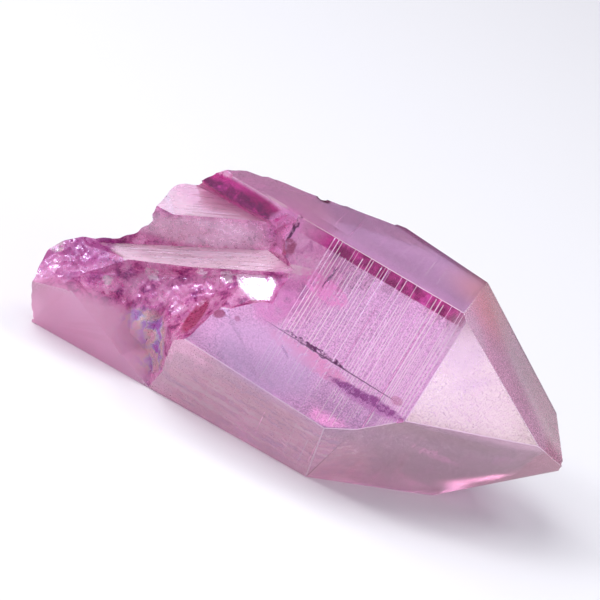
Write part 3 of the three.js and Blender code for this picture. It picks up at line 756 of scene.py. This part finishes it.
def growthPlaces(node, toGrowth):
    # the growth axes in mm, the same stirred a little for ragged outlines, and that drawn out
    place = node("ShaderNodeTexCoord").outputs["Object"]
    grown = node("ShaderNodeMapping", Vector=place, Location=toGrowth.translation,
                 Rotation=toGrowth.to_euler(), Scale=(1 / mm,) * 3).outputs[0]
    stir = node("ShaderNodeTexNoise", Vector=grown, Scale=stirring["scale"], Detail=stirring["layers"])
    stir = node("ShaderNodeVectorMath", dict(operation="SUBTRACT"), s0=stir.outputs["Color"], s1=(0.5,) * 3)
    stirred = node("ShaderNodeVectorMath", dict(operation="MULTIPLY_ADD"), s0=stir.outputs[0],
                   s1=(stirring["reach"],) * 3, s2=grown).outputs[0]
    drawn = node("ShaderNodeMapping", Vector=stirred, Scale=drawnOut).outputs[0]
    return grown, stirred, drawn


def naturalColour(node, grown, drawn):
    # natural faces: their own tint, cloudy and finely speckled, with veils; the ledges are streaked
    grooved = node("ShaderNodeMapping", dict(vector_type="TEXTURE"), Vector=grown,
                   Rotation=(0, 0, math.radians(ledgeGrain["turn"])), Scale=ledgeGrain["size"]).outputs[0]
    ledge = painted(node, "paleLedge")
    speckle = pick(node, ledge, pattern(node, grown, "speckle"), pattern(node, grooved, "ledgeStreaks"))
    grain = pick(node, ledge, pattern(node, grown, "grain"), ledgeGrain["lift"])
    uneven = maths(node, "ADD", pattern(node, grown, "cloud"),
                   spread(node, speckle, *speckling["shows"], *speckling["gives"]))
    uneven = maths(node, "ADD", uneven, grain)
    film = node("ShaderNodeAttribute", dict(attribute_name="filmTint")).outputs["Color"]
    colour = node("ShaderNodeVectorMath", dict(operation="SCALE"), Vector=film, Scale=uneven).outputs[0]
    colour = blend(node, pattern(node, drawn, "veil"), colour, veilTint)
    streaks = ramp(node, pattern(node, drawn, "streaks"), streakTints)
    return blend(node, ellipsoid(node, grown, veiled), colour, streaks), speckle


def brokenColour(node, grown, stirred, mottle, colour):
    # broken stone: deep and bright magenta in turn; torn spots of it lie on the bright glint
    stone = ramp(node, mottle, stoneTints)
    depth = node("ShaderNodeSeparateXYZ", Vector=grown).outputs[2]
    shallow = spread(node, depth, *stoneDepth["shows"], *stoneDepth["gives"], smooth=True)
    stony = maths(node, "MULTIPLY", painted(node, "brokenStone"), shallow)
    torn = maths(node, "LESS_THAN", painted(node, "faceRough"), glintBelow)
    torn = maths(node, "MULTIPLY", torn, pattern(node, stirred, "tears"))
    for there in (stony, torn, ellipsoid(node, stirred, mottled)):
        colour = blend(node, there, colour, stone)
    rainbow = ramp(node, pattern(node, stirred, "rainbow"), rainbowTints)
    return blend(node, ellipsoid(node, stirred, hollow), colour, rainbow), stony, torn


def edgeColour(node, grown, mottle, colour):
    # painted shade: the dark band that total internal reflection gives along the upper edge of the front
    # face, crossed by the pale growth lines
    width, soft, skin = edgeShadeBand["width"], edgeShadeBand["soft"], edgeShadeBand["skin"]
    along = node("ShaderNodeSeparateXYZ", Vector=grown).outputs[0]
    below = offFace(node, grown, "upperFront")
    shadeBand = spread(node, below, -width - soft, -width + soft, smooth=True)
    for part in (spread(node, offFace(node, grown, "front"), -skin, -skin / 2),
                 spread(node, along, *edgeShadeBand["fadesIn"]), spread(node, along, *edgeShadeBand["fadesOut"], 1, 0)):
        shadeBand = maths(node, "MULTIPLY", shadeBand, part)
    colour = blend(node, shadeBand, colour, ramp(node, mottle, edgeShadeBand["tints"]))
    # a thin dark line where the upper faces end against the back
    behind, onPoint = offFace(node, grown, "upperBack"), offFace(node, grown, "pointUpper")
    for onFace, width in ((below, rimLine["upper"]), (onPoint, rimLine["point"])):
        rim = spread(node, behind, -width, -width * rimLine["soft"], 0, rimLine["strength"], smooth=True)
        skin = spread(node, onFace, -rimLine["skin"], -rimLine["skin"] / 2)
        colour = blend(node, maths(node, "MULTIPLY", rim, skin), colour, rimLine["colour"])
    return blend(node, painted(node, "lineSide"), colour, lineTint)


def markColour(node, grown, stirred, gaps, colour):
    for mark in marks.values():
        if mark.get("ragged"):
            there = maths(node, "MULTIPLY", ellipsoid(node, stirred, mark), gaps)
        else:
            there = ellipsoid(node, grown, mark)
        colour = blend(node, there, colour, mark["colour"])
    return colour


# painted glints: where the pale, smooth spots lie, broken up by the gaps
def paintedGlintMask(node, stirred, gaps):
    paintedGlintShare = 0.0
    for paintedGlintSpot in paintedGlints:
        there = ellipsoid(node, stirred, dict(paintedGlintSpot, strength=paintedGlintFinish["strength"]))
        paintedGlintShare = maths(node, "MAXIMUM", paintedGlintShare, maths(node, "MULTIPLY", there, gaps))
    return paintedGlintShare


def filmRoughness(node, grown, speckle, stony, torn, paintedGlintShare):
    uneven = spread(node, speckle, *roughening["shows"], *roughening["gives"])
    rough = maths(node, "MULTIPLY", painted(node, "faceRough"), uneven)
    cheek = ellipsoid(node, grown, marks["cheek"])
    gloss = pattern(node, grown, "gloss")
    for there, much in ((cheek, roughening["cheek"]), (stony, gloss), (torn, roughening["torn"])):
        rough = maths(node, "ADD", rough, maths(node, "MULTIPLY", there, much))
    return pick(node, paintedGlintShare, rough, paintedGlintFinish["rough"])


def auraQuartz(material, toGrowth):
    node = nodeTools(material)
    grown, stirred, drawn = growthPlaces(node, toGrowth)
    gaps = pattern(node, grown, "gaps")
    mottle = maths(node, "ADD", pattern(node, stirred, "lumps"), pattern(node, grown, "fineLumps"))
    colour, speckle = naturalColour(node, grown, drawn)
    colour, stony, torn = brokenColour(node, grown, stirred, mottle, colour)
    colour = edgeColour(node, grown, mottle, colour)
    colour = markColour(node, grown, stirred, gaps, colour)
    paintedGlintShare = paintedGlintMask(node, stirred, gaps)
    # painted glints: a pale tint over the stone where they lie
    colour = blend(node, paintedGlintShare, colour, paintedGlintFinish["film"])
    rough = filmRoughness(node, grown, speckle, stony, torn, paintedGlintShare)
    bump = node("ShaderNodeBump", Strength=speckling["relief"], Distance=speckling["height"], Height=speckle)
    quartz = node(
        "ShaderNodeBsdfPrincipled", Base_Color=colour, Roughness=rough, Normal=bump.outputs[0],
        IOR=quartzBody["ior"], Transmission_Weight=quartzBody["clear"],
        Thin_Film_Thickness=quartzFilm["thickness"], Thin_Film_IOR=quartzFilm["ior"],
        Coat_Weight=quartzFilm["coat"], Coat_Roughness=quartzFilm["coatRough"])
    body = node("ShaderNodeVolumeAbsorption", Color=(*quartzBody["tint"], 1), Density=quartzBody["density"])
    node("ShaderNodeOutputMaterial", Surface=quartz.outputs[0], Volume=body.outputs[0])


# the pale floor: how far it reaches (m) and how far it lies below the crystal (mm), so that the
# two never share a plane
studioFloor = dict(reach=1.6, gap=0.03, colour=(0.82, 0.83, 0.86), rough=0.55)


def paleFloor():
    material = bpy.data.materials.new("paleFloor")
    node = nodeTools(material)
    colour = (*studioFloor["colour"], 1)
    board = node("ShaderNodeBsdfPrincipled", Base_Color=colour, Roughness=studioFloor["rough"])
    node("ShaderNodeOutputMaterial", Surface=board.outputs[0])
    bm = bmesh.new()
    bmesh.ops.create_grid(bm, x_segments=1, y_segments=1, size=studioFloor["reach"])
    bmesh.ops.translate(bm, verts=bm.verts, vec=(0, 0, -studioFloor["gap"] * mm))
    made = objectFrom("floor", bm)
    made.data.materials.append(material)


# the lights: which way each lies from the crystal, how far off (m), its size and its power
lights = {
    "windowLight": dict(towards=(-0.50, -0.10, 0.84), distance=0.75, size=(0.62, 0.62), power=4.0),
    "glintCard": dict(towards=(-0.74, -0.38, 0.56), distance=0.8, size=(0.16, 0.16), power=1.9),
    "sideCard": dict(towards=(0.93, -0.28, 0.25), distance=0.8, size=(0.5, 0.35), power=1.9),
    "topFill": dict(towards=(0.3, 0.25, 0.92), distance=1.0, size=(0.5, 0.5), power=2.2),
}
lightsAim = (0, 0, 0.015)

# the room: pale in front and darker behind the crystal
room = dict(pale=(0.1, -0.95, 0.25), tints=[(0.0, (0.22, 0.20, 0.24)), (0.8, (0.68, 0.67, 0.72))])
bounces = dict(max_bounces=24, transmission_bounces=20, glossy_bounces=8, transparent_max_bounces=16)


def softLight(name, towards, distance, size, power):
    lamp = bpy.data.lights.new(name, "AREA")
    lamp.shape, lamp.size, lamp.size_y = "RECTANGLE", size[0], size[1]
    lamp.energy = power
    made = bpy.data.objects.new(name, lamp)
    direction = Vector(towards).normalized()
    made.location = Vector(lightsAim) + direction * distance
    made.rotation_mode = "QUATERNION"
    made.rotation_quaternion = (-direction).to_track_quat("-Z", "Y")
    bpy.context.scene.collection.objects.link(made)


def studio():
    scene = bpy.context.scene
    scene.world = bpy.data.worlds.new("studio")
    node = nodeTools(scene.world)
    way = node("ShaderNodeTexCoord").outputs["Generated"]
    turned = node("ShaderNodeVectorMath", dict(operation="DOT_PRODUCT"), s0=way, s1=room["pale"])
    shade = ramp(node, turned.outputs["Value"], room["tints"])
    glow = node("ShaderNodeBackground", Color=shade, Strength=1.0)
    node("ShaderNodeOutputWorld", Surface=glow.outputs[0])
    for name, light in lights.items():
        softLight(name, **light)
    scene.view_settings.view_transform = "Standard"
    for name, most in bounces.items():
        setattr(scene.cycles, name, most)
    scene.cycles.use_denoising = True


# the photograph's view: it looks down on the crystal, leaning to one side
viewpoint = dict(
    aim=(-4.0, -13.8, 27.1), distance=454.4, azimuth=6.8, elevation=23.1, lean=25.5, lens=169.0,
    sensor=36, near=0.01, far=10,
)


def placeCamera():
    azimuth, elevation, lean = (math.radians(viewpoint[name]) for name in ("azimuth", "elevation", "lean"))
    back = Vector((math.sin(azimuth) * math.cos(elevation), -math.cos(azimuth) * math.cos(elevation),
                   math.sin(elevation)))
    data = bpy.data.cameras.new("camera")
    data.sensor_width, data.lens = viewpoint["sensor"], viewpoint["lens"]
    data.clip_start, data.clip_end = viewpoint["near"], viewpoint["far"]
    camera = bpy.data.objects.new("camera", data)
    turn = (-back).to_track_quat("-Z", "Y").to_matrix() @ Matrix.Rotation(lean, 3, "Z")
    stand = Vector(viewpoint["aim"]) + back * viewpoint["distance"]
    camera.matrix_world = Matrix.Translation(stand * mm) @ turn.to_4x4()
    bpy.context.scene.collection.objects.link(camera)
    bpy.context.scene.camera = camera


placeCamera()
studio()
paleFloor()
print("stage: camera, light and floor")

auraFinish = bpy.data.materials.new("auraQuartz")
crystal = makeBlank()
tree = lineTree()
for faceName, lines in growthLines.items():
    middle = pointOnFace(faceName, lines["start"], lines["middle"])
    matrix = facingMatrix(faceNormal(crystalFaces[faceName]), middle)
    cutAway(crystal, lineCutter(tree, faceName, lines, auraFinish, matrix))
for step in backSteps:
    cutAway(crystal, stepCutter(step))
print("crystal: faces and growth lines", len(crystal.data.polygons))
cutAway(crystal, ledgeCutter())
for name, fracture in fractures.items():
    cutAway(crystal, fractureCutter(name, fracture))
for name, lines in ledgeLines.items():
    cutAway(crystal, lineCutter(tree, name, lines, auraFinish, ledgeMatrix(lines["corners"])))
for index, chip in enumerate(chips):
    cutAway(crystal, chipCutter(index, chip))
print("crystal: broken end and chips", len(crystal.data.polygons))
paintFaces(crystal)
toPart = layDown(crystal)
auraQuartz(auraFinish, toPart.inverted())
crystal.name = crystal.data.name = "auraCrystal"
crystal.data.materials.clear()
crystal.data.materials.append(auraFinish)
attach(crystal, "root")
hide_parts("crystal")
print("crystal: placed")
